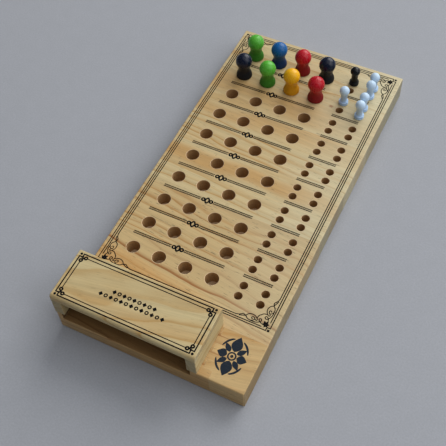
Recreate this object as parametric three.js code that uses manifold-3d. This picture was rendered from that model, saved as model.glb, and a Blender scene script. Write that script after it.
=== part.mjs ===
// A wooden code-breaking board: a glued pine panel drilled with rows of peg holes, a loose cover over the
// recess that hides the secret code, and the turned and painted pegs of two guesses.
//
// Frame: millimetres, +Z up. The origin is on the table, under the middle of the panel. X runs across the
// panel, Y runs along it from the cover to the first guess.

import * as THREE from 'three';
import { mergeVertices } from 'three/addons/utils/BufferGeometryUtils.js';
import Module from 'manifold-3d';

const wasm = await Module();
wasm.setup();

// ---------------------------------------------------------------- driving dimensions

const panelWidth = 140.8;
const panelLength = 300;
const panelThickness = 19.5;

const columnPitch = 20.9;
const rowPitch = 23;
const rowCount = 10;
const columnCount = 4;
const firstColumnInset = 21.5; // from the panel's left edge to the first column of code holes
const firstRowInset = 67.45; // from the panel's front edge to the row nearest the cover

const codeHole = { radius: 5, depth: 12, sides: 16 };
const keyHole = { radius: 3, depth: 10, sides: 12 };
const hiddenHoleDepth = 8; // the four code holes in the recess are shallower
const keyColumnInsets = [106.4, 122.9]; // from the left edge to the two columns of key holes
const keyHoleSpread = 4.4; // each pair of key holes stands this far before and behind its row

const glueLine = 0.05; // glued faces stand this far apart
const frontStaveWidth = 37.8;
const secondStaveRows = 1;
const wideStaveRows = 2;

const fingerCount = 6; // fingers across the front stave's joint, counting both blocks
const fingerRoot = 108.8; // from the left edge to the roots of the long block's fingers
const fingerTip = 115.6;

const recessWidth = 97.4;
const recessLength = 33;
const recessDepth = 7.5;

const coverWidth = 107.9;
const coverLength = 39.7;
const coverHeight = 21.9;
const coverTopThickness = 5.5;
const cheekThickness = 7.5;
const coverBackThickness = 6;
const coverFrontRadius = 2.5; // the top board's upper front edge
const coverRearRadius = 1;
const coverOverhang = 0.7; // the loose cover stands this far past the panel's left edge

const restingGap = 0.05; // what stands loose on the panel is this far above it

const codePeg = {
    headRadius: 6.6,
    headHeight: 15.6,
    neckRadius: 4.7,
    neckHeight: 7.4,
    footRadius: 6.4,
    footEdge: 1.1,
    shankRadius: 4.6,
    shankLength: 10,
    sides: 16,
};

const keyPeg = {
    headRadius: 3.85,
    headHeight: 13.4,
    neckRadius: 2.45,
    neckHeight: 4.4,
    footRadius: 3.8,
    footEdge: 2.9,
    shankRadius: 2.6,
    shankLength: 8,
    sides: 12,
};

const shankChamfer = 0.6;
const neckFlare = 0.25; // the ball meets the waist this far outside the neck

// ---------------------------------------------------------------- derived places

const left = -panelWidth / 2;
const front = -panelLength / 2;
const deck = panelThickness; // height of the panel's top face

const columnX = (column) => left + firstColumnInset + column * columnPitch;
const rowY = (row) => front + firstRowInset + row * rowPitch;
const betweenRows = (row) => rowY(row) - rowPitch / 2;
const gridCentreX = (columnX(0) + columnX(columnCount - 1)) / 2;

// ---------------------------------------------------------------- materials

function finish(colour, roughness) {
    return new THREE.MeshStandardMaterial({ color: colour, roughness, metalness: 0 });
}

const panelWood = finish(0xcfae80, 0.62);
const coverWood = finish(0xd3bd94, 0.62);
const paints = {
    green: finish(0x3c9a30, 0.3),
    blue: finish(0x14509a, 0.3),
    red: finish(0xa8141e, 0.3),
    yellow: finish(0xe0a415, 0.3),
    navy: finish(0x141c2c, 0.3),
    black: finish(0x0c0c0e, 0.35),
    white: finish(0xdfe8f4, 0.35),
};

// ---------------------------------------------------------------- solids

function solidOf(geometry) {
    const bare = geometry.clone();
    bare.deleteAttribute('normal');
    bare.deleteAttribute('uv');
    const merged = mergeVertices(bare, 1e-4);
    return new wasm.Manifold(new wasm.Mesh({
        numProp: 3,
        vertProperties: Float32Array.from(merged.attributes.position.array),
        triVerts: Uint32Array.from(merged.index.array),
    }));
}

function geometryOf(solid) {
    const mesh = solid.getMesh();
    const geometry = new THREE.BufferGeometry();
    geometry.setAttribute('position', new THREE.BufferAttribute(mesh.vertProperties, 3));
    geometry.setIndex(new THREE.BufferAttribute(mesh.triVerts, 1));
    geometry.computeVertexNormals();
    return geometry;
}

function cutFrom(geometry, cutters) {
    const solid = cutters.reduce((rest, cutter) => rest.subtract(solidOf(cutter)), solidOf(geometry));
    return geometryOf(solid);
}

function block(x0, x1, y0, y1, z0, z1) {
    const box = new THREE.BoxGeometry(x1 - x0, y1 - y0, z1 - z0);
    return box.translate((x0 + x1) / 2, (y0 + y1) / 2, (z0 + z1) / 2);
}

const overshoot = 1; // a cutter reaches this far past the face it enters

function drill(x, y, mouthZ, { radius, depth, sides }) {
    const cylinder = new THREE.CylinderGeometry(radius, radius, depth + overshoot, sides);
    return cylinder.rotateX(Math.PI / 2).translate(x, y, mouthZ - (depth - overshoot) / 2);
}

// ---------------------------------------------------------------- panel

function holesOfRow(row) {
    const drills = [];
    for (let column = 0; column < columnCount; column += 1) {
        drills.push(drill(columnX(column), rowY(row), deck, codeHole));
    }
    for (const inset of keyColumnInsets) {
        for (const side of [-1, 1]) {
            drills.push(drill(left + inset, rowY(row) + side * keyHoleSpread, deck, keyHole));
        }
    }
    return drills;
}

// A stave's front face is glued to the stave before it, so the gap for the glue is there.
function stave(name, y0, y1, rows) {
    const body = block(left, -left, y0 + glueLine, y1, 0, deck);
    return named(name, cutFrom(body, rows.flatMap(holesOfRow)), panelWood);
}

// The finger joint, seen from above, from the front edge to the front stave's back edge.
function fingerJointLine(offset) {
    const finger = frontStaveWidth / fingerCount;
    const points = [];
    for (let index = 0; index < fingerCount; index += 1) {
        const inset = index % 2 === 0 ? fingerTip : fingerRoot;
        const lean = index % 2 === 0 ? offset : -offset;
        const start = index === 0 ? 0 : index * finger - lean;
        const end = index === fingerCount - 1 ? frontStaveWidth : (index + 1) * finger + lean;
        points.push([left + inset + offset, front + start], [left + inset + offset, front + end]);
    }
    return points;
}

function extrudePlan(points, height) {
    const shape = new THREE.Shape(points.map(([x, y]) => new THREE.Vector2(x, y)));
    return new THREE.ExtrudeGeometry(shape, { depth: height, bevelEnabled: false });
}

function frontStaveLeft() {
    const line = fingerJointLine(-glueLine / 2);
    const plan = [[left, front], ...line, [left, front + frontStaveWidth]];
    const recess = block(
        gridCentreX - recessWidth / 2, gridCentreX + recessWidth / 2,
        front - overshoot, front + recessLength,
        deck - recessDepth, deck + overshoot,
    );
    const hiddenHole = { ...codeHole, depth: hiddenHoleDepth };
    const drills = [];
    for (let column = 0; column < columnCount; column += 1) {
        drills.push(drill(columnX(column), front + recessLength / 2, deck - recessDepth, hiddenHole));
    }
    return named('stave_front_left', cutFrom(extrudePlan(plan, deck), [recess, ...drills]), panelWood);
}

function frontStaveRight() {
    const line = fingerJointLine(glueLine / 2).reverse();
    const plan = [[-left, front], [-left, front + frontStaveWidth], ...line];
    return named('stave_front_right', cutFrom(extrudePlan(plan, deck), []), panelWood);
}

function panel() {
    const group = new THREE.Group();
    group.add(frontStaveLeft(), frontStaveRight());
    let y = front + frontStaveWidth;
    let row = 0;
    let number = 2;
    while (row < rowCount) {
        const rowsHere = number === 2 ? secondStaveRows : wideStaveRows;
        const next = Math.min(row + rowsHere, rowCount);
        const end = next === rowCount ? -front : betweenRows(next);
        const rows = Array.from({ length: next - row }, (_, index) => row + index);
        group.add(stave(`stave_${number}`, y, end, rows));
        y = end;
        row = next;
        number += 1;
    }
    return group;
}

// ---------------------------------------------------------------- cover

// The top board's section across Y, with its two upper corners rounded.
function coverTop() {
    const half = coverLength / 2;
    const shape = new THREE.Shape();
    shape.moveTo(-half, 0);
    shape.lineTo(half, 0);
    shape.absarc(
        half - coverRearRadius, coverTopThickness - coverRearRadius,
        coverRearRadius, 0, Math.PI / 2, false,
    );
    shape.absarc(
        coverFrontRadius - half, coverTopThickness - coverFrontRadius,
        coverFrontRadius, Math.PI / 2, Math.PI, false,
    );
    shape.closePath();
    const options = { depth: coverWidth, bevelEnabled: false, curveSegments: 4 };
    const top = new THREE.ExtrudeGeometry(shape, options);
    top.rotateX(Math.PI / 2).rotateZ(Math.PI / 2);
    top.translate(0, half, coverHeight - coverTopThickness);
    return named('cover_top', cutFrom(top, []), coverWood);
}

function coverBoard(name, x0, x1, y0, y1) {
    const top = coverHeight - coverTopThickness - glueLine;
    return named(name, cutFrom(block(x0, x1, y0, y1, 0, top), []), coverWood);
}

function cover() {
    const group = new THREE.Group();
    const inner = cheekThickness + glueLine;
    group.add(
        coverTop(),
        coverBoard('cover_left_cheek', 0, cheekThickness, 0, coverLength),
        coverBoard('cover_right_cheek', coverWidth - cheekThickness, coverWidth, 0, coverLength),
        coverBoard('cover_back', inner, coverWidth - inner, coverLength - coverBackThickness, coverLength),
    );
    group.position.set(left - coverOverhang, front, deck + restingGap);
    return group;
}

// ---------------------------------------------------------------- pegs

// Half the outline of a peg, from the shank's tip up to the top of the head. Height 0 is the foot's
// underside. The waist falls from the foot to the neck along a half cosine, and a second one, cut short
// where it meets the ball, leads out of the neck.
function pegOutline(peg) {
    const points = [
        [0, -peg.shankLength],
        [peg.shankRadius - shankChamfer, -peg.shankLength],
        [peg.shankRadius, shankChamfer - peg.shankLength],
        [peg.shankRadius, 0],
        [peg.footRadius - peg.footEdge / 3, 0],
        [peg.footRadius, peg.footEdge / 3],
    ];
    const waistSteps = 3;
    for (let step = 0; step <= waistSteps; step += 1) {
        const t = step / waistSteps;
        const fall = (1 + Math.cos(Math.PI * t)) / 2;
        points.push([
            peg.neckRadius + (peg.footRadius - peg.neckRadius) * fall,
            peg.footEdge + (peg.neckHeight - peg.footEdge) * t,
        ]);
    }
    const joinAngle = -Math.acos((peg.neckRadius + neckFlare) / peg.headRadius);
    const headSteps = 7;
    for (let step = 0; step <= headSteps; step += 1) {
        const angle = joinAngle + (Math.PI / 2 - joinAngle) * step / headSteps;
        const radius = step === headSteps ? 0 : peg.headRadius * Math.cos(angle);
        points.push([radius, peg.headHeight + peg.headRadius * Math.sin(angle)]);
    }
    return points.map(([radius, height]) => new THREE.Vector2(radius, height));
}

function turnedPeg(name, shape, colour, x, y) {
    const turned = new THREE.LatheGeometry(pegOutline(shape), shape.sides).rotateX(Math.PI / 2);
    const mesh = named(name, cutFrom(turned, []), paints[colour]);
    mesh.position.set(x, y, deck + restingGap);
    return mesh;
}

// A key peg is given by its colour, its column of key holes, and the side of its row: 1 behind, -1 before.
const guesses = [
    {
        row: 9,
        code: ['green', 'blue', 'red', 'navy'],
        key: [['black', 0, 1], ['white', 1, 1], ['white', 1, -1]],
    },
    {
        row: 8,
        code: ['navy', 'green', 'yellow', 'red'],
        key: [['white', 0, 1], ['white', 1, 1], ['white', 1, -1]],
    },
];

function guess({ row, code, key }, index) {
    const group = new THREE.Group();
    const label = `guess_${index + 1}`;
    code.forEach((colour, column) => {
        const name = `${label}_code_peg_${column + 1}_${colour}`;
        group.add(turnedPeg(name, codePeg, colour, columnX(column), rowY(row)));
    });
    key.forEach(([colour, column, side], number) => {
        const name = `${label}_key_peg_${number + 1}_${colour}`;
        const y = rowY(row) + side * keyHoleSpread;
        group.add(turnedPeg(name, keyPeg, colour, left + keyColumnInsets[column], y));
    });
    return group;
}

// ---------------------------------------------------------------- assembly

function named(name, geometry, material) {
    const mesh = new THREE.Mesh(geometry, material);
    mesh.name = name;
    return mesh;
}

const board = new THREE.Group();
board.add(panel(), cover(), ...guesses.map(guess));

export default board;
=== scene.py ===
"""The looks of a wooden code-breaking board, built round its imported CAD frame: finer pine staves and cover
boards, turned and painted pegs, and the printed ornament. Shapes are written in millimetres in the CAD
frame and scaled to metres when each mesh is made."""

import math
import random

import bmesh
import bpy
from mathutils import Matrix, Vector


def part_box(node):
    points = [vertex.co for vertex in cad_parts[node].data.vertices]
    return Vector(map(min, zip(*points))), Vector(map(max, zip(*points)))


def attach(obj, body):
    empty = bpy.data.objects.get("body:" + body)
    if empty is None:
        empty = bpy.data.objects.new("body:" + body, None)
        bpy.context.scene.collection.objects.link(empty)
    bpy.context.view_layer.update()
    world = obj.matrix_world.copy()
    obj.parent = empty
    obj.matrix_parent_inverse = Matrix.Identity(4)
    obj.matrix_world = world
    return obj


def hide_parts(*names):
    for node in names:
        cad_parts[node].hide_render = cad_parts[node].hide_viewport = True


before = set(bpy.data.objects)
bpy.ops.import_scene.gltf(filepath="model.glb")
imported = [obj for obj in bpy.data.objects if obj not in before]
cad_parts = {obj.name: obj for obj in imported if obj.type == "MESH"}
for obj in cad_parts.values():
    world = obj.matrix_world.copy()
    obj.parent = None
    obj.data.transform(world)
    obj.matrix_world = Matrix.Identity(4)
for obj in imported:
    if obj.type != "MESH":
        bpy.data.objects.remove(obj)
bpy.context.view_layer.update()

MM = 0.001

# ---------------------------------------------------------------- places read from the frame, in mm


def corners(node):
    lo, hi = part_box(node)
    return Vector(lo) / MM, Vector(hi) / MM


def middle(node):
    lo, hi = corners(node)
    return (lo + hi) / 2


CODE_PEGS = [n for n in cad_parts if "_code_peg_" in n]
KEY_PEGS = [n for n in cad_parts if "_key_peg_" in n]
ROW_COUNT = 10

panel_lo = corners("stave_front_left")[0]
panel_hi = corners("stave_7")[1]
LEFT, RIGHT = panel_lo.x, panel_hi.x
FRONT, BACK = panel_lo.y, panel_hi.y
DECK = panel_hi.z

last_row = [n for n in CODE_PEGS if n.startswith("guess_1")]
next_row = [n for n in CODE_PEGS if n.startswith("guess_2")]
columns = sorted(middle(n).x for n in last_row)
column_pitch = columns[1] - columns[0]
row_pitch = middle(last_row[0]).y - middle(next_row[0]).y
row_y = [middle(last_row[0]).y - (ROW_COUNT - 1 - row) * row_pitch for row in range(ROW_COUNT)]
key_y = {round(middle(n).y - row_y[-1], 2) for n in KEY_PEGS if n.startswith("guess_1")}
KEY_SPREAD = max(key_y)
key_columns = sorted({round(middle(n).x, 2) for n in KEY_PEGS})

# ---------------------------------------------------------------- dimensions the frame's boxes don't give

CODE_HOLE = (5.0, 12.0)  # radius, depth
KEY_HOLE = (3.0, 10.0)
HIDDEN_HOLE = (5.0, 8.0)
HOLE_MOUTH = 0.3  # how far a hole's mouth is eased
HOLE_SIDES = 48

FINGERS = 6
GLUE_LINE = 0.05
RECESS_WIDTH = 97.4
RECESS_LENGTH = 33.0
RECESS_DEPTH = 7.5

PANEL_EDGE = 0.9  # radius of the panel's rounded outer edges
COVER_EDGE = 0.6
COVER_NOSE = 2.5  # radius of the cover's upper front edge
COVER_REAR = 1.0
COVER_UNDER = 0.5

CODE_PEG = dict(head=6.6, head_z=15.6, neck=4.7, neck_z=7.4, foot=6.4, rim=1.1, shank=4.6, length=10.0)
KEY_PEG = dict(head=3.85, head_z=13.4, neck=2.45, neck_z=4.4, foot=3.8, rim=2.9, shank=2.6, length=8.0)

# ---------------------------------------------------------------- node helpers


class Nodes:
    """A short way to write a material's node tree."""

    def __init__(self, name):
        self.material = bpy.data.materials.new(name)
        self.material.use_nodes = True
        self.tree = self.material.node_tree
        self.tree.nodes.clear()
        self.out = self.add("ShaderNodeOutputMaterial")
        self.shader = self.add("ShaderNodeBsdfPrincipled")
        self.link(self.shader.outputs["BSDF"], self.out.inputs["Surface"])
        self.coords = self.add("ShaderNodeTexCoord")

    def add(self, kind, **settings):
        node = self.tree.nodes.new(kind)
        for key, value in settings.items():
            setattr(node, key, value)
        return node

    def link(self, source, target):
        self.tree.links.new(source, target)

    def feed(self, socket, value):
        if isinstance(value, bpy.types.NodeSocket):
            self.link(value, socket)
        else:
            socket.default_value = value

    def math(self, operation, a, b=0.0, c=0.0, clamp=False):
        node = self.add("ShaderNodeMath", operation=operation, use_clamp=clamp)
        for socket, value in zip(node.inputs, (a, b, c)):
            self.feed(socket, value)
        return node.outputs[0]

    def mapping(self, vector, location=(0, 0, 0), rotation=(0, 0, 0), scale=(1, 1, 1)):
        node = self.add("ShaderNodeMapping")
        self.feed(node.inputs["Vector"], vector)
        node.inputs["Location"].default_value = location
        node.inputs["Rotation"].default_value = rotation
        node.inputs["Scale"].default_value = scale
        return node.outputs[0]

    def noise(self, vector, scale, detail=2.0, rough=0.5, distortion=0.0):
        """Noise whose cells are 1 / scale millimetres long on each axis."""
        node = self.add("ShaderNodeTexNoise")
        self.feed(node.inputs["Vector"], self.mapping(vector, scale=scale))
        node.inputs["Scale"].default_value = 1.0
        node.inputs["Detail"].default_value = detail
        node.inputs["Roughness"].default_value = rough
        node.inputs["Distortion"].default_value = distortion
        return node.outputs["Fac"]

    def spread(self, value, lo, hi, to_lo=0.0, to_hi=1.0, smooth=False):
        node = self.add("ShaderNodeMapRange", clamp=True)
        if smooth:
            node.interpolation_type = "SMOOTHSTEP"
        for socket, v in zip(list(node.inputs)[:5], (value, lo, hi, to_lo, to_hi)):
            self.feed(socket, v)
        return node.outputs[0]

    def ramp(self, value, stops):
        node = self.add("ShaderNodeValToRGB")
        self.feed(node.inputs["Fac"], value)
        ramp = node.color_ramp
        while len(ramp.elements) < len(stops):
            ramp.elements.new(0.5)
        for element, (place, level) in zip(ramp.elements, stops):
            element.position = place
            element.color = (level, level, level, 1)
        return node.outputs["Color"]

    def mix(self, amount, a, b, blend="MIX"):
        node = self.add("ShaderNodeMix", data_type="RGBA", blend_type=blend)
        self.feed(node.inputs["Factor"], amount)
        sockets = [s for s in node.inputs if s.type == "RGBA"]
        for socket, colour in zip(sockets, (a, b)):
            self.feed(socket, colour if isinstance(colour, bpy.types.NodeSocket) else (*colour, 1))
        return next(s for s in node.outputs if s.type == "RGBA")

    def bump(self, height, distance, strength=1.0, onto=None):
        node = self.add("ShaderNodeBump")
        self.feed(node.inputs["Height"], height)
        node.inputs["Distance"].default_value = distance * MM
        node.inputs["Strength"].default_value = strength
        if onto is not None:
            self.feed(node.inputs["Normal"], onto)
        return node.outputs[0]

    def object_mm(self):
        """The place on the piece, in millimetres."""
        return self.mapping(self.coords.outputs["Object"], scale=(1 / MM, 1 / MM, 1 / MM))

    def facing(self, axis):
        """How far the surface faces along an axis of the piece."""
        parts = self.add("ShaderNodeSeparateXYZ")
        self.link(self.coords.outputs["Normal"], parts.inputs[0])
        return parts.outputs[axis]

    def shade(self, tone, level):
        """A colour made lighter or darker by a level."""
        grey = self.add("ShaderNodeCombineXYZ")
        for socket in grey.inputs:
            self.feed(socket, level)
        return self.mix(1.0, tone, grey.outputs[0], "MULTIPLY")

    def finish(self, tone, roughness, specular, normal=None):
        """Feeds the shader. The specular level is the same all over, so it is set on the shader itself."""
        self.feed(self.shader.inputs["Base Color"], tone)
        self.feed(self.shader.inputs["Roughness"], roughness)
        self.shader.inputs["Specular IOR Level"].default_value = specular
        if normal is not None:
            self.feed(self.shader.inputs["Normal"], normal)
        return self.material


def srgb(red, green, blue):
    """A colour written as on a screen, 0 to 255, made linear."""
    return tuple(
        c / 12.92 if c <= 0.04045 else ((c + 0.055) / 1.055) ** 2.4
        for c in (red / 255, green / 255, blue / 255)
    )


# ---------------------------------------------------------------- pine

# The first of these tones is the pale that the right end fades to: partly the wood's own tone, partly a
# painted sheen.
PALE_AND_SHEEN_TONE, KNOT, WORN = (212, 203, 168), (150, 92, 52), (214, 192, 152)
SHEEN_REACH = 58  # the wood is at its palest this far right of the board's middle, partly its own tone and partly painted sheen

# One growth ring's darkness from its inner to its outer side: pale earlywood, then a band of latewood.
RING_PROFILE = [(0.0, 0.12), (0.30, 0.0), (0.70, 0.36), (0.88, 1.0), (0.94, 0.95), (1.0, 0.12)]


def add_rings(n, across, along, height, wander, ripple, pith, ring, bow, warp, seed):
    """How dark the latewood is at each place, 0 to 1. The rings are uneven in width and in strength."""
    bowed = n.math("MULTIPLY", n.math("MULTIPLY", along, along), bow / 1000)
    dy = n.math("ADD", n.math("SUBTRACT", across, pith[0]), bowed)
    dz = n.math("SUBTRACT", height, pith[1])
    radius = n.math("SQRT", n.math("ADD", n.math("MULTIPLY", dy, dy), n.math("MULTIPLY", dz, dz)))
    radius = n.math("ADD", radius, n.math("MULTIPLY", wander, 2 * warp))
    radius = n.math("ADD", radius, n.math("MULTIPLY", ripple, 1.6))
    turns = n.math("DIVIDE", radius, ring)
    uneven = n.add("ShaderNodeTexNoise", noise_dimensions="1D")
    n.feed(uneven.inputs["W"], n.math("ADD", turns, seed * 7.3))
    uneven.inputs["Scale"].default_value = 0.45
    turns = n.math("ADD", turns, n.math("MULTIPLY", uneven.outputs["Fac"], 1.5))
    whole = n.math("FLOOR", turns)
    pick = n.add("ShaderNodeTexWhiteNoise", noise_dimensions="1D")
    n.feed(pick.inputs["W"], n.math("ADD", whole, seed * 3.7))
    strength = n.spread(n.math("POWER", pick.outputs["Value"], 1.5), 0, 1, 0.18, 1.15)
    return n.math("MULTIPLY", n.ramp(n.math("SUBTRACT", turns, whole), RING_PROFILE), strength)


def add_knot(n, place, tone, x, y, radius):
    """A pin knot: a ragged dark spot, longer along the grain."""
    spot = n.mapping(n.mapping(place, location=(-x, -y, 0)), scale=(1, 1.3, 0))
    reach = n.add("ShaderNodeVectorMath", operation="LENGTH")
    n.link(spot, reach.inputs[0])
    ragged = n.math("MULTIPLY", n.noise(place, (0.9, 0.9, 0.9)), 2.0)
    ragged = n.math("ADD", reach.outputs["Value"], ragged)
    return n.mix(n.spread(ragged, radius + 2.4, radius + 0.6, 0, 0.75, smooth=True), tone, srgb(*KNOT))


def add_worn_edges(n, tone, streaks):
    """Edges that handling has rubbed paler."""
    rounded = n.add("ShaderNodeBevel", samples=4)
    rounded.inputs["Radius"].default_value = 0.7 * MM
    true = n.add("ShaderNodeNewGeometry")
    match = n.add("ShaderNodeVectorMath", operation="DOT_PRODUCT")
    n.link(rounded.outputs[0], match.inputs[0])
    n.link(true.outputs["Normal"], match.inputs[1])
    edge = n.spread(match.outputs["Value"], 0.99, 0.82, 0, 1)
    edge = n.math("MULTIPLY", edge, n.spread(streaks, 0.35, 0.65, 0.15, 0.55))
    return n.mix(edge, tone, srgb(*WORN))


def make_pine(name, early, late, pith=(0.0, -60.0), ring=3.2, tilt=0.0, bow=0.0, warp=5.0, contrast=0.7,
              blush=0.25, blush_tone=(192, 148, 86), heart=(0.0, 1.0, 0.0), pale_and_sheen=0.0, knot=None, ends=None,
              seed=0, axis="X", pores=0.35):
    """Pine sawn along its grain. The growth rings are cylinders round a pith that lies along the grain,
    at (across, height) in the frame. tilt is the grain's slope over the face, in degrees. heart is a warmer
    band: where it lies across the grain, its half width, and its strength. pale_and_sheen is how far the
    right end pales, partly the wood's own paler tone and partly a painted sheen of the light from the right.
    knot is the place and the radius of a pin knot. ends is how bright the end grain is."""
    n = Nodes(name)
    place = n.object_mm()
    if axis == "Y":
        place = n.mapping(place, rotation=(0, 0, math.radians(-90)))
    drift = random.Random(seed)
    jump = [drift.uniform(-400, 400) for _ in range(3)]
    grain = n.mapping(place, rotation=(0, 0, math.radians(tilt)))
    field = n.mapping(grain, location=jump)
    parts = n.add("ShaderNodeSeparateXYZ")
    n.link(grain, parts.inputs[0])
    along, across, height = parts.outputs

    wander = n.math("SUBTRACT", n.noise(field, (0.011, 0.028, 0.028), detail=1.5), 0.5)
    ripple = n.math("SUBTRACT", n.noise(field, (0.045, 0.12, 0.12), detail=1.0), 0.5)
    latewood = add_rings(n, across, along, height, wander, ripple, pith, ring, bow, warp, seed)
    streaks = n.noise(field, (0.007, 0.30, 0.30), detail=2.0)
    fibres = n.noise(field, (0.035, 2.4, 2.4), detail=3.0, rough=0.6)
    patches = n.noise(field, (0.010, 0.035, 0.035), detail=1.0)
    specks = n.noise(field, (0.17, 1.9, 1.9), detail=0.0)

    tone = n.mix(n.math("MULTIPLY", latewood, contrast, clamp=True), srgb(*early), srgb(*late))
    tone = n.mix(n.spread(patches, 0.45, 0.72, 0, blush, smooth=True), tone, srgb(*blush_tone))
    centre, half, warmth = heart
    bent = n.math("ADD", across, n.math("MULTIPLY", wander, 24.0))
    away = n.math("ABSOLUTE", n.math("SUBTRACT", bent, centre))
    tone = n.mix(n.spread(away, half, 0.2 * half, 0, warmth, smooth=True), tone, srgb(*blush_tone))
    # Paler towards the right end: partly the wood's own tone, partly a painted sheen of the light from the
    # right.
    if pale_and_sheen:
        bent = n.math("ADD", along, n.math("MULTIPLY", n.math("SUBTRACT", patches, 0.5), 60.0))
        tone = n.mix(n.spread(bent, 0, SHEEN_REACH, 0, pale_and_sheen, smooth=True), tone, srgb(*PALE_AND_SHEEN_TONE))
    if knot:
        tone = add_knot(n, place, tone, *knot)

    end = n.spread(n.math("ABSOLUTE", n.facing(axis)), 0.6, 0.9, smooth=True)
    pits = n.spread(n.noise(field, (2.6, 2.6, 2.6), detail=2.0), 0.3, 0.7, 0.80, 1.0)
    pore = n.spread(specks, 0.72, 0.80, 0, pores, smooth=True)
    level = n.spread(fibres, 0.25, 0.75, -0.12, 0.09)
    level = n.math("ADD", n.spread(streaks, 0.3, 0.7, 0.92, 1.06), level)
    level = n.math("MULTIPLY", level, n.math("SUBTRACT", 1.0, pore))
    level = n.math("MULTIPLY", level, n.mix(end, (1.0, 1.0, 1.0), pits))
    dull = ends or drift.uniform(0.72, 1.0)
    tone = n.mix(end, tone, (0.84 * dull, 0.87 * dull, 0.96 * dull), "MULTIPLY")
    tone = add_worn_edges(n, n.shade(tone, level), streaks)

    gloss = n.math("ADD", n.spread(fibres, 0.3, 0.7, 0.50, 0.62), n.math("MULTIPLY", latewood, -0.08))
    gloss = n.math("ADD", gloss, n.math("MULTIPLY", end, 0.15))
    relief = n.math("ADD", n.math("MULTIPLY", fibres, 0.6), n.math("MULTIPLY", latewood, 0.5))
    relief = n.math("SUBTRACT", relief, n.math("MULTIPLY", pore, 1.2))
    return n.finish(tone, gloss, 0.35, n.bump(relief, 0.08, 0.5))


def make_drilled(name, wall, floor):
    """A drilled hole: the wall browned by the bit, with faint rings and torn fibres. Faces that look up, the
    floor and the eased mouth, are painted much paler: painted light on them.
    """
    n = Nodes(name)
    place = n.object_mm()
    torn = n.noise(place, (1.1, 1.1, 0.5), detail=3.0, rough=0.65)
    rings = n.noise(place, (0.05, 0.05, 3.2), detail=1.0)
    # Faces that look up get the paler colour: painted light on the floor and mouth of the hole.
    tone = n.mix(n.spread(n.facing("Z"), 0.35, 0.85), srgb(*wall), srgb(*floor))
    level = n.math("ADD", n.spread(torn, 0.3, 0.7, 0.82, 1.08), n.spread(rings, 0.35, 0.65, -0.10, 0.06))
    normal = n.bump(n.math("ADD", torn, rings), 0.15, 0.6)
    return n.finish(n.shade(tone, level), n.spread(torn, 0.3, 0.7, 0.7, 0.9), 0.2, normal)


def make_paint(name, tone, shaded_tone, gloss=0.27):
    """Satin paint on turned wood: it thins over the turning lines, and is matter from the waist down, where
    no finger polishes it. From the waist down its colour is also darkened, a painted shade of the board
    below."""
    n = Nodes(name)
    place = n.object_mm()
    cloud = n.noise(place, (0.22, 0.22, 0.30), detail=2.0)
    lines = n.noise(place, (0.12, 0.12, 2.2), detail=2.0)
    strokes = n.noise(place, (1.1, 1.1, 0.16), detail=2.0)
    parts = n.add("ShaderNodeSeparateXYZ")
    n.link(place, parts.inputs[0])
    # Lower on the peg the colour is drawn towards the second tone: painted shade from the board below.
    low = n.spread(parts.outputs["Z"], DECK + 17, DECK + 3, 0.0, 0.85, smooth=True)
    uneven = n.math("ADD", n.spread(cloud, 0.3, 0.7, 0.0, 0.2), n.spread(lines, 0.35, 0.7, 0, 0.15))
    colour = n.mix(n.math("ADD", low, uneven, clamp=True), srgb(*tone), srgb(*shaded_tone))
    roughness = n.spread(strokes, 0.3, 0.7, gloss - 0.13, gloss + 0.13)
    roughness = n.math("ADD", roughness, n.math("MULTIPLY", low, 0.45))
    height = n.math("ADD", n.math("MULTIPLY", lines, 0.4), n.math("MULTIPLY", strokes, 0.6))
    return n.finish(colour, roughness, 0.36, n.bump(height, 0.12, 0.55))


def make_ink(name, tone, thin):
    """Printed ink that lets a little of the wood's grain through."""
    n = Nodes(name)
    place = n.object_mm()
    fibres = n.noise(place, (0.12, 1.6, 1.6), detail=3.0, rough=0.6)
    colour = n.mix(n.spread(fibres, 0.56, 0.78, 0, 0.6), srgb(*tone), srgb(*thin))
    return n.finish(colour, n.spread(fibres, 0.3, 0.7, 0.7, 0.9), 0.1, n.bump(fibres, 0.05, 0.3))


# ---------------------------------------------------------------- mesh helpers


def make_piece(name, bm, materials, body, replaced=(), sharp=40.0):
    """Turns a mesh drawn in millimetres into a piece that rides on a body. Level faces and broad straight
    ones stay flat, the others are smooth, and edges bent by more than sharp degrees stay crisp."""
    flat, broad = 0.9999, 60
    bmesh.ops.recalc_face_normals(bm, faces=bm.faces)
    for face in bm.faces:
        level = abs(face.normal.z) > flat
        straight = max(abs(c) for c in face.normal) > flat and face.calc_area() > broad
        face.smooth = not (level or straight)
    limit = math.radians(sharp)
    for edge in bm.edges:
        edge.smooth = edge.calc_face_angle(0) < limit
    bmesh.ops.scale(bm, vec=(MM, MM, MM), verts=bm.verts)
    mesh = bpy.data.meshes.new(name)
    bm.to_mesh(mesh)
    bm.free()
    for material in materials:
        mesh.materials.append(material)
    piece = bpy.data.objects.new(name, mesh)
    bpy.context.scene.collection.objects.link(piece)
    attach(piece, body)
    if replaced:
        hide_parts(*replaced)
    return piece


def block(lo, hi):
    bm = bmesh.new()
    size = Vector(hi) - Vector(lo)
    centre = (Vector(hi) + Vector(lo)) / 2
    bmesh.ops.create_cube(bm, size=1, matrix=Matrix.Translation(centre) @ Matrix.Diagonal((*size, 1)))
    return bm


def ease(bm, radius, chosen, segments=3):
    """Rounds the edges that chosen(edge) picks."""
    edges = [e for e in bm.edges if chosen(e)]
    bmesh.ops.bevel(bm, geom=edges, offset=radius, offset_type="OFFSET", segments=segments, profile=0.5,
                    affect="EDGES", clamp_overlap=True)


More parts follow.
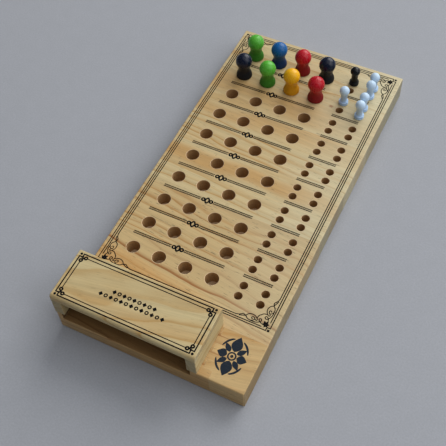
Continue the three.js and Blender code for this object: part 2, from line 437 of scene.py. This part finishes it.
def solid_of(faces):
    """A mesh from faces given as lists of corners, with equal corners shared."""
    bm = bmesh.new()
    seen = {}
    for corners_of_face in faces:
        ring = []
        for corner in corners_of_face:
            key = tuple(round(c, 4) for c in corner)
            if key not in seen:
                seen[key] = bm.verts.new(corner)
            ring.append(seen[key])
        bm.faces.new(ring)
    bmesh.ops.recalc_face_normals(bm, faces=bm.faces)
    return bm


def circle(bm, x, y, z, radius, sides):
    turn = 2 * math.pi / sides
    return [bm.verts.new((x + radius * math.cos(i * turn), y + radius * math.sin(i * turn), z))
            for i in range(sides)]


def drill(bm, z, holes, sides=HOLE_SIDES):
    """Cuts blind round holes into the level face at height z. holes are (x, y, radius, depth). The walls
    and the floors of the holes take the second material, and the bit's point leaves a small cone."""
    level = [f for f in bm.faces if f.normal.z > 0.999 and abs(f.verts[0].co.z - z) < 1e-3]
    top = max(level, key=lambda f: f.calc_area())
    rim = list(top.edges)
    bmesh.ops.delete(bm, geom=[top], context="FACES_ONLY")
    lip = HOLE_MOUTH
    for x, y, radius, depth in holes:
        profile = [
            (radius + lip, 0), (radius + 0.45 * lip, -0.12 * lip), (radius + 0.12 * lip, -0.45 * lip),
            (radius, -lip), (radius, 0.5 - depth), (radius - 0.15, 0.15 - depth), (radius - 0.5, -depth),
            (1.2, -depth), (0.8, -depth - 0.6),
        ]
        rings = [circle(bm, x, y, z + drop, r, sides) for r, drop in profile]
        tip = bm.verts.new((x, y, z - depth - 1.1))
        for outer, inner in zip(rings, rings[1:]):
            for i in range(sides):
                j = (i + 1) % sides
                bm.faces.new((outer[i], outer[j], inner[j], inner[i])).material_index = 1
        for i in range(sides):
            bm.faces.new((rings[-1][i], rings[-1][(i + 1) % sides], tip)).material_index = 1
        rim += [bm.edges.get((rings[0][i], rings[0][(i + 1) % sides])) for i in range(sides)]
    bmesh.ops.triangle_fill(bm, use_beauty=True, use_dissolve=False, edges=rim, normal=(0, 0, 1))


def lathe(outline, sides, x, y, z):
    """Turns half an outline of (radius, height) about an upright axis. It starts and ends on the axis."""
    bm = bmesh.new()
    rings = [circle(bm, x, y, z + h, r, sides) for r, h in outline[1:-1]]
    foot = bm.verts.new((x, y, z + outline[0][1]))
    crown = bm.verts.new((x, y, z + outline[-1][1]))
    for lower, upper in zip(rings, rings[1:]):
        for i in range(sides):
            j = (i + 1) % sides
            bm.faces.new((lower[i], lower[j], upper[j], upper[i]))
    for i in range(sides):
        j = (i + 1) % sides
        bm.faces.new((foot, rings[0][j], rings[0][i]))
        bm.faces.new((rings[-1][i], rings[-1][j], crown))
    return bm


# ---------------------------------------------------------------- panel

# The second colour, for the faces in a hole that look up, is far paler than the wood: painted light on the
# hole's floor and mouth.
DRILLED = make_drilled("drilled_pine", (173, 136, 92), (232, 206, 168))


def holes_between(y0, y1):
    holes = []
    for y in row_y:
        if y0 < y < y1:
            holes += [(x, y, *CODE_HOLE) for x in columns]
            holes += [(x, y + side * KEY_SPREAD, *KEY_HOLE) for x in key_columns for side in (-1, 1)]
    return holes


def outer_only(edge, glued_x=(), glued_y=()):
    """True for a convex edge that no glued face touches."""
    if len(edge.link_faces) != 2 or edge.calc_face_angle_signed(0) < math.radians(30):
        return False
    for face in edge.link_faces:
        c = face.calc_center_median()
        if abs(face.normal.y) > 0.9 and any(abs(c.y - y) < 0.5 for y in glued_y):
            return False
        if abs(face.normal.x) > 0.9 and any(lo <= c.x <= hi for lo, hi in glued_x):
            return False
    return True


def make_stave(number, wood):
    node = f"stave_{number}"
    lo, hi = corners(node)
    trim = random.Random(number * 17)
    bm = block(lo + Vector((trim.uniform(0, 0.25), 0, 0)), hi - Vector((trim.uniform(0, 0.25), 0, 0)))
    bmesh.ops.recalc_face_normals(bm, faces=bm.faces)
    glued = [y for y in (lo.y, hi.y) if abs(y - BACK) > 1]
    ease(bm, PANEL_EDGE, lambda e: outer_only(e, glued_y=glued))
    drill(bm, DECK, holes_between(lo.y, hi.y))
    make_piece(f"pine_{node}", bm, [wood, DRILLED], "panel", [node])


def joint_line():
    """The long block's finger joint seen from above, from the front edge to the back of the front stave:
    its corners, the strip of X that it takes up, and where the stave ends. The short block's corners are
    the same, moved by the glue line."""
    tip = corners("stave_front_left")[1].x
    root = corners("stave_front_right")[0].x
    length = corners("stave_front_left")[1].y - FRONT
    finger = length / FINGERS
    points = []
    for index in range(FINGERS):
        x = tip if index % 2 == 0 else root
        points += [(x, FRONT + index * finger), (x, FRONT + (index + 1) * finger)]
    return points, (root - 1, tip + 1), FRONT + length


def make_front_left(wood, shaded_recess):
    line, joint, back = joint_line()
    middle_x = (columns[0] + columns[-1]) / 2
    x0, x1 = middle_x - RECESS_WIDTH / 2, middle_x + RECESS_WIDTH / 2
    y1, floor = FRONT + RECESS_LENGTH, DECK - RECESS_DEPTH
    plan = [(LEFT, FRONT), *line, (LEFT, back)]
    notched = [(LEFT, FRONT), (x0, FRONT), (x0, y1), (x1, y1), (x1, FRONT), *line, (LEFT, back)]
    faces = [
        [(x, y, 0) for x, y in plan],
        [(x, y, DECK) for x, y in notched],
        [(x0, FRONT, floor), (x1, FRONT, floor), (x1, y1, floor), (x0, y1, floor)],
        [(x0, y1, floor), (x1, y1, floor), (x1, y1, DECK), (x0, y1, DECK)],
        [(x0, FRONT, floor), (x0, y1, floor), (x0, y1, DECK), (x0, FRONT, DECK)],
        [(x1, FRONT, floor), (x1, y1, floor), (x1, y1, DECK), (x1, FRONT, DECK)],
        [(LEFT, FRONT, 0), (line[0][0], FRONT, 0), (line[0][0], FRONT, DECK), (x1, FRONT, DECK),
         (x1, FRONT, floor), (x0, FRONT, floor), (x0, FRONT, DECK), (LEFT, FRONT, DECK)],
    ]
    sides = [*line, (LEFT, back), (LEFT, FRONT)]
    for (ax, ay), (bx, by) in zip(sides, sides[1:]):
        faces.append([(ax, ay, 0), (bx, by, 0), (bx, by, DECK), (ax, ay, DECK)])
    bm = solid_of(faces)
    inner_steps = [y for _, y in line[1:]] + [back]
    ease(bm, PANEL_EDGE, lambda e: outer_only(e, glued_x=[joint], glued_y=inner_steps))
    hidden = [(x, FRONT + RECESS_LENGTH / 2, *HIDDEN_HOLE) for x in columns]
    drill(bm, floor, hidden)
    # The recess's floor and walls take the third material, a darker wood: painted shade in the recess under
    # the cover.
    slack = 0.1
    for face in bm.faces:
        c = face.calc_center_median()
        within = x0 - slack < c.x < x1 + slack and FRONT + slack < c.y < y1 + slack
        if within and floor - slack < c.z < DECK - slack and face.material_index == 0:
            face.material_index = 2
    woods = [wood, DRILLED, shaded_recess]
    make_piece("pine_stave_front_left", bm, woods, "panel", ["stave_front_left"])


def make_front_right(wood):
    line, joint, back = joint_line()
    shifted = [(x + GLUE_LINE, y) for x, y in line]
    plan = [(RIGHT, FRONT), (RIGHT, back), *reversed(shifted)]
    faces = [[(x, y, 0) for x, y in plan], [(x, y, DECK) for x, y in plan]]
    for (ax, ay), (bx, by) in zip(plan, plan[1:] + plan[:1]):
        faces.append([(ax, ay, 0), (bx, by, 0), (bx, by, DECK), (ax, ay, DECK)])
    bm = solid_of(faces)
    inner_steps = [y for _, y in line[1:]] + [back]
    ease(bm, PANEL_EDGE, lambda e: outer_only(e, glued_x=[joint], glued_y=inner_steps))
    make_piece("pine_stave_front_right", bm, [wood], "panel", ["stave_front_right"])


# Each stave's own plank: tones, where its pith lies, and how its grain runs.
PALE, STRAW, WARM, BISCUIT = (207, 187, 141), (203, 177, 127), (197, 163, 111), (204, 174, 122)
LATE_SOFT, LATE_TAN, LATE_RUST = (188, 146, 82), (177, 130, 70), (158, 108, 58)
# These two tones are for the recess. They are darker than the front stave's: painted shade in the recess
# under the cover.
RECESS_SHADE, LATE_RECESS_SHADE = (146, 111, 68), (114, 80, 44)

front_wood = make_pine("pine_front_left", WARM, LATE_RUST, pith=(-100, -40), ring=3.0, tilt=4, seed=11,
                       contrast=0.85, blush=0.4)
# The front stave's wood in darker tones: painted shade in the recess under the cover.
shaded_recess_wood = make_pine("pine_recess_shaded", RECESS_SHADE, LATE_RECESS_SHADE, pith=(-100, -40), ring=3.0, tilt=4, seed=11,
                        contrast=0.9, blush=0.0, ends=0.9)
corner_wood = make_pine("pine_front_right", BISCUIT, (176, 126, 66), pith=(-165, -50), ring=3.4, tilt=-12,
                        seed=12, contrast=0.7, heart=(-118, 9, 0.5))
make_front_left(front_wood, shaded_recess_wood)
make_front_right(corner_wood)
make_stave(2, make_pine("pine_2", STRAW, LATE_RUST, pith=(-60, -30), ring=3.3, tilt=7, seed=2, contrast=1.0,
                        blush=0.45, blush_tone=(200, 152, 88), heart=(-104, 12, 0.45), pale_and_sheen=0.25,
                        pores=0.55))
make_stave(3, make_pine("pine_3", STRAW, LATE_TAN, pith=(-10, -45), ring=2.8, tilt=6, seed=3, contrast=0.9,
                        blush=0.2, blush_tone=(190, 156, 114), pale_and_sheen=0.25, pores=0.55))
make_stave(4, make_pine("pine_4", PALE, LATE_SOFT, pith=(30, -60), ring=3.4, tilt=3, seed=4, contrast=0.9,
                        heart=(6, 10, 0.8), pale_and_sheen=0.5, pores=0.45))
make_stave(5, make_pine("pine_5", PALE, LATE_SOFT, pith=(90, -40), ring=3.8, tilt=4, seed=5, contrast=1.0,
                        heart=(59, 11, 0.6), pale_and_sheen=0.5))
make_stave(6, make_pine("pine_6", PALE, LATE_SOFT, pith=(60, -50), ring=3.0, tilt=3, seed=6, contrast=1.0,
                        blush=0.4, heart=(83, 15, 0.6), pale_and_sheen=0.6, knot=(28.5, 98.5, 0.9)))
make_stave(7, make_pine("pine_7", PALE, LATE_SOFT, pith=(100, -60), ring=3.6, tilt=1, seed=7, contrast=0.75,
                        pale_and_sheen=0.7))

# ---------------------------------------------------------------- cover

COVER_WOOD = ((207, 189, 142), (186, 150, 92))
cover_wood = make_pine("pine_cover_top", *COVER_WOOD, pith=(-118, 0), ring=4.4, tilt=-10, seed=21,
                       contrast=0.8, blush=0.2, heart=(-137, 9, 0.3), ends=1.15, pores=0.25)
cheek_wood = make_pine("pine_cover_cheeks", *COVER_WOOD, pith=(60, 10), ring=2.6, seed=22,
                       contrast=0.6, blush=0.1, axis="Y", ends=1.0, pores=0.2)
back_wood = make_pine("pine_cover_back", *COVER_WOOD, pith=(-160, -20), ring=3.0, seed=23,
                      contrast=0.6, blush=0.15, ends=1.1, pores=0.2)


def make_cover_top(node):
    """The top board. Its section across Y has four round corners, and shrinks a little at both ends."""
    lo, hi = corners(node)
    under, rear, nose, steps = COVER_UNDER, COVER_REAR, COVER_NOSE, 6
    section = []
    for cy, cz, radius, start in (
        (lo.y + under, lo.z + under, under, 180), (hi.y - under, lo.z + under, under, 270),
        (hi.y - rear, hi.z - rear, rear, 0), (lo.y + nose, hi.z - nose, nose, 90),
    ):
        for step in range(steps + 1):
            a = math.radians(start + 90 * step / steps)
            section.append((cy + radius * math.cos(a), cz + radius * math.sin(a)))
    arc = [(0.0, 1.0), (0.08, 0.6), (0.4, 0.15), (1.0, 0.0)]
    rows = [(lo.x + along * COVER_EDGE, inset * COVER_EDGE) for along, inset in arc]
    rows += [(hi.x - along * COVER_EDGE, inset * COVER_EDGE) for along, inset in reversed(arc)]
    centre = Vector(((lo.y + hi.y) / 2, (lo.z + hi.z) / 2))
    half = Vector(((hi.y - lo.y) / 2, (hi.z - lo.z) / 2))
    bm = bmesh.new()
    rings = []
    for x, inset in rows:
        ring = []
        for y, z in section:
            sy, sz = 1 - inset / half.x, 1 - inset / half.y
            ring.append(bm.verts.new((x, centre.x + (y - centre.x) * sy, centre.y + (z - centre.y) * sz)))
        rings.append(ring)
    count = len(section)
    for a, b in zip(rings, rings[1:]):
        for i in range(count):
            j = (i + 1) % count
            bm.faces.new((a[i], a[j], b[j], b[i]))
    bm.faces.new(rings[0])
    bm.faces.new(rings[-1])
    bmesh.ops.remove_doubles(bm, verts=bm.verts, dist=1e-4)
    make_piece("pine_cover_top", bm, [cover_wood], "cover", [node], sharp=50)


def make_cover_board(node, wood, glued_ends=False):
    """A board under the top. Its upper edges are glued to the top, and stay sharp."""
    lo, hi = corners(node)
    bm = block(lo, hi)
    bmesh.ops.recalc_face_normals(bm, faces=bm.faces)

    def free(edge):
        for face in edge.link_faces:
            if face.normal.z > 0.9 or (glued_ends and abs(face.normal.x) > 0.9):
                return False
        return True

    ease(bm, COVER_EDGE, free)
    make_piece(f"pine_{node}", bm, [wood], "cover", [node])


make_cover_top("cover_top")
make_cover_board("cover_left_cheek", cheek_wood)
make_cover_board("cover_right_cheek", cheek_wood)
make_cover_board("cover_back", back_wood, glued_ends=True)

# ---------------------------------------------------------------- pegs

# Each paint's second colour is painted shade, used low on the peg.
PAINTS = {
    "green": make_paint("paint_green", (94, 190, 62), (50, 122, 26)),
    "blue": make_paint("paint_blue", (22, 102, 170), (12, 44, 92)),
    "red": make_paint("paint_red", (198, 24, 40), (128, 6, 12)),
    "yellow": make_paint("paint_yellow", (250, 188, 22), (216, 150, 6)),
    "navy": make_paint("paint_navy", (14, 25, 50), (5, 7, 16)),
    "black": make_paint("paint_black", (11, 12, 16), (4, 4, 6)),
    "white": make_paint("paint_white", (208, 233, 255), (186, 213, 244), gloss=0.36),
}


def peg_outline(head, head_z, neck, neck_z, foot, rim, shank, length, groove):
    """Half the outline of a turned peg, from the shank's tip up to the crown. Height 0 is the foot's
    underside. With a groove the foot is a flange with a groove round its edge and a narrower shoulder."""
    points = [(0, -length), (shank - 0.6, -length), (shank - 0.2, 0.25 - length), (shank, 0.7 - length)]
    points.append((shank, 0))
    soft, waist = 0.35, 0.85
    points += [(foot - soft, 0), (foot - 0.3 * soft, 0.3 * soft), (foot, soft)]
    shoulder = foot
    if groove:
        shoulder = foot - 0.9
        points += [(foot, 0.9), (foot - 0.15, 1.1), (foot - waist, 1.25)]
        points += [(foot - waist, 1.65), (foot - 0.15, 1.85), (foot, 2.05)]
        points += [(foot, rim - 0.4), (foot - 0.1, rim - 0.12), (foot - soft, rim), (shoulder, rim)]
    steps = 16
    for step in range(steps + 1):
        t = step / steps
        fall = (1 + math.cos(math.pi * t)) / 2
        points.append((neck + (shoulder - neck) * fall, rim + (neck_z - rim) * t))
    start = -math.acos((neck + 0.25) / head)
    turns = 26
    for step in range(turns + 1):
        a = start + (math.pi / 2 - start) * step / turns
        points.append((0 if step == turns else head * math.cos(a), head_z + head * math.sin(a)))
    return points


for shape, nodes, sides, groove in ((CODE_PEG, CODE_PEGS, 64, False), (KEY_PEG, KEY_PEGS, 48, True)):
    for node in nodes:
        centre = middle(node)
        base = corners(node)[1].z - shape["head_z"] - shape["head"]
        colour = node.rsplit("_", 1)[1]
        turned = lathe(peg_outline(**shape, groove=groove), sides, centre.x, centre.y, base)
        make_piece(f"turned_{node}", turned, [PAINTS[colour]], node, [node], sharp=60)

# ---------------------------------------------------------------- print

U = column_pitch


def curve(points, steps=8, closed=False):
    """A smooth line through the points."""
    pts = [Vector(p) for p in points]
    count = len(pts)
    out = []
    spans = count if closed else count - 1
    for i in range(spans):
        if closed:
            p0, p1, p2, p3 = (pts[(i + k) % count] for k in (-1, 0, 1, 2))
        else:
            p0, p1, p2, p3 = pts[max(i - 1, 0)], pts[i], pts[i + 1], pts[min(i + 2, count - 1)]
        for k in range(steps):
            t = k / steps
            out.append(0.5 * (2 * p1 + (p2 - p0) * t + (2 * p0 - 5 * p1 + 4 * p2 - p3) * t * t
                              + (3 * p1 - p0 - 3 * p2 + p3) * t ** 3))
    if not closed:
        out.append(pts[-1])
    return out


def round_points(x, y, radius, sides):
    turn = 2 * math.pi / sides
    return [(x + radius * math.cos(i * turn), y + radius * math.sin(i * turn)) for i in range(sides)]


class Print:
    """Ink laid on a level face as thin closed strips and spots, which reach a little into the wood."""

    def __init__(self, z):
        self.bm = bmesh.new()
        self.z = z
        self.count = 0

    def levels(self):
        """Each stroke is a little higher than the one before, so that no two tops lie in one plane."""
        self.count += 1
        return self.z - 0.02, self.z + 0.025 + 0.0006 * (self.count % 16)

    def stroke(self, points, width, closed=False, thin_ends=False):
        pts = [Vector(p) for p in points]
        count = len(pts)
        low, high = self.levels()
        rails = []
        for i, p in enumerate(pts):
            before = pts[(i - 1) % count] if closed or i > 0 else None
            after = pts[(i + 1) % count] if closed or i < count - 1 else None
            ways = []
            if before is not None:
                ways.append((p - before).normalized())
            if after is not None:
                ways.append((after - p).normalized())
            way = sum(ways, Vector((0, 0))).normalized()
            side = Vector((-way.y, way.x))
            reach = width / 2 / max(0.4, side.dot(Vector((-ways[0].y, ways[0].x))))
            if thin_ends:
                reach *= 0.35 + 0.65 * math.sin(math.pi * i / (count - 1)) ** 0.5
            left, right = p + side * reach, p - side * reach
            rails.append([self.bm.verts.new((q.x, q.y, z)) for q, z in
                          ((left, low), (right, low), (right, high), (left, high))])
        for i in range(count if closed else count - 1):
            a, b = rails[i], rails[(i + 1) % count]
            for k in range(4):
                self.bm.faces.new((a[k], a[(k + 1) % 4], b[(k + 1) % 4], b[k]))
        if not closed:
            self.bm.faces.new(rails[0])
            self.bm.faces.new(rails[-1])

    def ring(self, x, y, radius, width, sides=28):
        self.stroke(round_points(x, y, radius, sides), width, closed=True)

    def spot(self, points):
        low, high = self.levels()
        bottom = [self.bm.verts.new((x, y, low)) for x, y in points]
        top = [self.bm.verts.new((x, y, high)) for x, y in points]
        self.bm.faces.new(bottom)
        self.bm.faces.new(top)
        for i in range(len(points)):
            j = (i + 1) % len(points)
            self.bm.faces.new((bottom[i], bottom[j], top[j], top[i]))

    def disc(self, x, y, radius, sides=24):
        self.spot(round_points(x, y, radius, sides))

    def petal(self, x, y, angle, start, length, width, sides=14):
        """A pointed leaf that grows from start to start + length along a direction in degrees."""
        a = math.radians(angle)
        way, across = Vector((math.cos(a), math.sin(a))), Vector((-math.sin(a), math.cos(a)))
        points = []
        for side in (1, -1):
            for i in range(sides):
                t = i / sides if side == 1 else 1 - i / sides
                swell = width / 2 * math.sin(math.pi * t ** 0.8)
                q = Vector((x, y)) + way * (start + length * t) + across * side * swell
                points.append((q.x, q.y))
        self.spot(points)

    def make(self, name, material, body):
        return make_piece(name, self.bm, [material], body)


LINE = 0.72  # width of the border's lines
HAIR = 0.66  # of its scrollwork, and of the cover's inner lines
FINE = 0.62  # of the dividers' lines
BORDER_PITCH = 1.55
BORDER_NOTCH = 2.4  # the bite out of each corner of an outer line

border_lo = Vector((LEFT + 3.3, FRONT + 47.1))
border_hi = Vector((RIGHT - 4.3, BACK - 3.9))


def frame_corners(lo, hi, inset):
    """The corners of a rectangle, each with the directions that lead inward from it."""
    return [((lo.x + inset, lo.y + inset), (1, 1)), ((hi.x - inset, lo.y + inset), (-1, 1)),
            ((hi.x - inset, hi.y - inset), (-1, -1)), ((lo.x + inset, hi.y - inset), (1, -1))]


def notched_outline(lo, hi, notch):
    """A rectangle with a square bite out of each corner."""
    x0, y0, x1, y1 = lo.x, lo.y, hi.x, hi.y
    return [
        (x0 + notch, y0), (x1 - notch, y0), (x1 - notch, y0 + notch), (x1, y0 + notch),
        (x1, y1 - notch), (x1 - notch, y1 - notch), (x1 - notch, y1), (x0 + notch, y1),
        (x0 + notch, y1 - notch), (x0, y1 - notch), (x0, y0 + notch), (x0 + notch, y0 + notch),
    ]


# Half of a corner's scrollwork, in column pitches: how far along the side from the inner line's corner,
# and how far in. The other half swaps the two.
SCROLLS = [
    [(1.07, 0.0), (0.97, 0.03), (0.86, 0.10), (0.76, 0.07), (0.67, 0.0), (0.57, -0.02), (0.48, 0.02),
     (0.45, 0.08), (0.49, 0.13), (0.55, 0.12), (0.55, 0.07), (0.51, 0.05)],
    [(0.97, 0.0), (0.88, 0.03), (0.77, 0.08), (0.70, 0.165), (0.59, 0.21), (0.47, 0.19), (0.39, 0.13),
     (0.36, 0.08), (0.39, 0.05), (0.43, 0.08)],
    [(0.60, -0.02), (0.42, -0.02), (0.29, 0.03), (0.225, 0.10), (0.25, 0.165), (0.31, 0.15), (0.30, 0.09),
     (0.235, 0.045), (0.14, 0.01), (0.06, 0.0)],
]
SCROLL_ARC = [(0.395, 0.13), (0.37, 0.25), (0.31, 0.31), (0.25, 0.37), (0.13, 0.395)]


def border(ink):
    """Three lines round the board, with a square, scrollwork and a flower in each corner."""
    pitch = BORDER_PITCH
    ink.stroke(notched_outline(border_lo, border_hi, BORDER_NOTCH), LINE, closed=True)
    for (x, y), (sx, sy) in frame_corners(border_lo, border_hi, 0):
        cx, cy = x + sx * 0.65, y + sy * 0.45
        ink.spot([(cx + a * 0.85, cy + b * 0.85) for a, b in ((-1, -1), (1, -1), (1, 1), (-1, 1))])
    for inset, stop in ((pitch, 4.6), (2 * pitch, 1.05 * U)):
        (x0, y0), (x1, y1) = border_lo + Vector((inset, inset)), border_hi - Vector((inset, inset))
        for y in (y0, y1):
            ink.stroke([(x0 + stop, y), (x1 - stop, y)], LINE)
        for x in (x0, x1):
            ink.stroke([(x, y0 + stop), (x, y1 - stop)], LINE)
    for (x, y), (sx, sy) in frame_corners(border_lo, border_hi, 2 * pitch):
        for swap in (False, True):
            for line in SCROLLS:
                pts = [(b, a) if swap else (a, b) for a, b in line]
                ink.stroke(curve([(x + sx * a * U, y + sy * b * U) for a, b in pts], 5), HAIR)
        ink.stroke(curve([(x + sx * a * U, y + sy * b * U) for a, b in SCROLL_ARC], 5), HAIR)
        turned = math.degrees(math.atan2(sy, sx))
        for lean, reach in ((0, 3.1), (52, 2.6), (-52, 2.6), (118, 2.3), (-118, 2.3), (180, 2.0)):
            ink.petal(x + sx * 0.8, y + sy * 0.8, turned + lean, 0.1, reach, 1.7)


def rope(ink, x0, x1, y, height=2.3):
    """Two lines with a slanted hatch between them."""
    step, lean, thread = 1.0, 0.9, 0.3
    for side in (-1, 1):
        line_y = y + side * (height - FINE) / 2
        ink.stroke([(x0, line_y), (x1, line_y)], FINE)
    count = int((x1 - x0 - height / 2) / step)
    for i in range(count + 1):
        x = x0 + 0.2 + i * step
        ink.stroke([(x, y - height / 2 + thread), (x + lean, y + height / 2 - thread)], thread)


def dividers(ink):
    """Between two rows, a rope on each side of a knot of rings, and a shorter rope beside the key holes."""
    for low, high in zip(row_y, row_y[1:]):
        y = (low + high) / 2 + 0.4
        x = columns[0]
        rope(ink, x - 0.30 * U, x + 1.17 * U, y)
        rope(ink, x + 1.66 * U, x + 3.18 * U, y)
        rope(ink, x + 3.88 * U, x + 4.94 * U, y)
        for place in (1.27, 1.57):
            ink.ring(x + place * U, y, 1.15, 1.25)
        knot = x + 1.42 * U
        oval = curve([(knot - 1.5, y), (knot, y + 2.3), (knot + 1.5, y), (knot, y - 2.3)], 7, closed=True)
        ink.stroke(oval, 1.3, closed=True)


INK = make_ink("black_ink", (12, 11, 12), (44, 34, 27))
INK_BLUE = make_ink("slate_ink", (36, 45, 56), (70, 70, 70))

board_print = Print(DECK)
border(board_print)
dividers(board_print)
board_print.make("board_print", INK, "panel")


def cover_border(ink, lo, hi):
    """Two lines round the cover, with a dot in each notch and two looped eyes in each corner."""
    outer_lo, outer_hi = Vector((lo.x + 2.5, lo.y + 2.6)), Vector((hi.x - 2.5, hi.y - 2.4))
    inset, stop, eye, loop = 2.5, 3.6, 1.0, 2.6
    ink.stroke(notched_outline(outer_lo, outer_hi, BORDER_NOTCH), 0.95, closed=True)
    for (x, y), (sx, sy) in frame_corners(outer_lo, outer_hi, 0):
        ink.disc(x + sx * 0.45, y + sy * 0.45, 0.95)
    x0, y0 = outer_lo + Vector((inset, inset))
    x1, y1 = outer_hi - Vector((inset, inset))
    for y in (y0, y1):
        ink.stroke([(x0 + stop, y), (x1 - stop, y)], HAIR)
    for x in (x0, x1):
        ink.stroke([(x, y0 + stop), (x, y1 - stop)], HAIR)
    for (x, y), (sx, sy) in frame_corners(outer_lo, outer_hi, inset):
        ink.ring(x + sx * loop, y, eye, 1.15)
        ink.ring(x, y + sy * loop, eye, 1.15)
        bend = [(1.6, 0.0), (1.2, 0.9), (0.9, 1.2), (0.0, 1.6)]
        ink.stroke(curve([(x + sx * a, y + sy * b) for a, b in bend], 5), 1.0)
        ink.stroke([(x - sx * 0.9, y + sy * 0.3), (x + sx * 1.6, y + sy * 0.3)], HAIR)
        ink.stroke([(x + sx * 0.3, y - sy * 0.9), (x + sx * 0.3, y + sy * 1.6)], HAIR)


def cover_beads(ink, lo, hi):
    """Two rows of lozenges and beads in turn."""
    centre = (lo.y + hi.y) / 2
    for y, start, end, count in ((centre + 0.6, 38.5, 68.5, 9), (centre - 3.9, 30.5, 76.5, 13)):
        for i in range(count):
            x = lo.x + start + (end - start) * i / (count - 1)
            if i % 2 == 0:
                ink.spot([(x - 1.6, y), (x, y - 1.7), (x + 1.6, y), (x, y + 1.7)])
            else:
                ink.ring(x, y, 1.05, 0.85, sides=20)


top_lo, top_hi = corners("cover_top")
top_print = Print(top_hi.z)
cover_border(top_print, top_lo, top_hi)
cover_beads(top_print, top_lo, top_hi)
top_print.make("cover_print", INK, "cover")


def rosette():
    """A plain leaf ornament on the board's free corner."""
    ink = Print(DECK)
    x, y = RIGHT - 18.7, FRONT + 20.9
    for angle, length, width in ((90, 11.4, 7.6), (270, 11.4, 7.6), (0, 7.2, 6.2), (180, 7.2, 6.2)):
        ink.petal(x, y, angle, 3.4, length, width)
    for angle in (45, 135, 225, 315):
        ink.petal(x, y, angle, 3.4, 7.4, 3.8)
    ink.ring(x, y, 2.6, 1.1, sides=36)
    ink.disc(x, y, 1.1)
    across, along = 9.8, 12.8
    turns = [math.radians(a) for a in range(22, 73, 5)]
    for side in (-1, 1):
        for end in (-1, 1):
            arc = [(x + side * across * math.cos(a), y + end * along * math.sin(a)) for a in turns]
            ink.stroke(arc, 1.5, thin_ends=True)
    ink.make("corner_ornament", INK_BLUE, "panel")


rosette()

# ---------------------------------------------------------------- floor, light and camera


FLOOR_REACH = 20.0  # metres, to each side


def make_floor():
    """A wide sheet of pale grey paper with a fine mottle."""
    n = Nodes("floor_paper")
    place = n.object_mm()
    mottle = n.noise(place, (0.09, 0.09, 0.09), detail=3.0)
    speckle = n.noise(place, (0.8, 0.8, 0.8), detail=2.0)
    tone = n.mix(n.spread(mottle, 0.3, 0.7), srgb(169, 172, 179), srgb(173, 176, 183))
    tone = n.mix(n.spread(speckle, 0.3, 0.7, 0.0, 0.8), tone, srgb(160, 163, 170))
    n.finish(tone, n.spread(mottle, 0.3, 0.7, 0.80, 0.9), 0.15)
    bm = bmesh.new()
    bmesh.ops.create_grid(bm, x_segments=12, y_segments=12, size=FLOOR_REACH)
    mesh = bpy.data.meshes.new("floor")
    bm.to_mesh(mesh)
    bm.free()
    mesh.materials.append(n.material)
    floor = bpy.data.objects.new("floor", mesh)
    bpy.context.scene.collection.objects.link(floor)


make_floor()


def aim_lamp(lamp, towards, distance):
    """Puts a lamp on one side of the board's middle, and turns it to face the middle."""
    way = Vector(towards).normalized()
    lamp.location = way * distance
    lamp.rotation_mode = "QUATERNION"
    lamp.rotation_quaternion = way.to_track_quat("Z", "Y")
    bpy.context.scene.collection.objects.link(lamp)


def make_lamp(name, towards, distance, size, watts, colour):
    """A soft square lamp that faces the middle of the board."""
    data = bpy.data.lights.new(name, "AREA")
    data.shape = "SQUARE"
    data.size = size
    data.energy = watts
    data.color = colour
    aim_lamp(bpy.data.objects.new(name, data), towards, distance)


def make_wide_light(name, towards, strength, spread, colour):
    """Even light from a wide stretch of the ceiling, the same over the whole floor."""
    data = bpy.data.lights.new(name, "SUN")
    data.energy = strength
    data.angle = math.radians(spread)
    data.color = colour
    aim_lamp(bpy.data.objects.new(name, data), towards, 3.0)


make_lamp("key", (0.16, 0.80, 0.58), 3.2, 2.5, 76.0, (1.0, 0.985, 0.96))
make_wide_light("overhead", (0.30, 0.10, 1.0), 0.71, 70, (0.98, 0.99, 1.0))
make_lamp("fill_right", (0.95, 0.12, 0.72), 1.9, 1.7, 11.5, (0.98, 0.99, 1.0))

world = bpy.data.worlds.new("studio")
bpy.context.scene.world = world
world.use_nodes = True
sky = world.node_tree.nodes["Background"]
sky.inputs["Color"].default_value = (0.94, 0.96, 1.0, 1)
sky.inputs["Strength"].default_value = 0.14

scene = bpy.context.scene
scene.view_settings.view_transform = "Standard"
scene.view_settings.look = "None"

# The camera looks at AIM from an azimuth and an elevation in degrees, and is rolled about its own axis.
AIM = Vector((0.2, -37.65, DECK))
AZIMUTH, ELEVATION, DISTANCE, ROLL, LENS = 29.69, 55.67, 591.5, -4.13, 66.26


def make_camera():
    data = bpy.data.cameras.new("camera")
    data.lens = LENS
    data.sensor_width = 36
    data.clip_start, data.clip_end = 0.01, 60
    camera = bpy.data.objects.new("camera", data)
    a, e = math.radians(AZIMUTH), math.radians(ELEVATION)
    back = Vector((math.sin(a) * math.cos(e), -math.cos(a) * math.cos(e), math.sin(e)))
    roll = Matrix.Rotation(math.radians(ROLL), 3, "Z").to_quaternion()
    camera.location = (AIM + back * DISTANCE) * MM
    camera.rotation_mode = "QUATERNION"
    camera.rotation_quaternion = back.to_track_quat("Z", "Y") @ roll
    bpy.context.scene.collection.objects.link(camera)
    bpy.context.scene.camera = camera


make_camera()
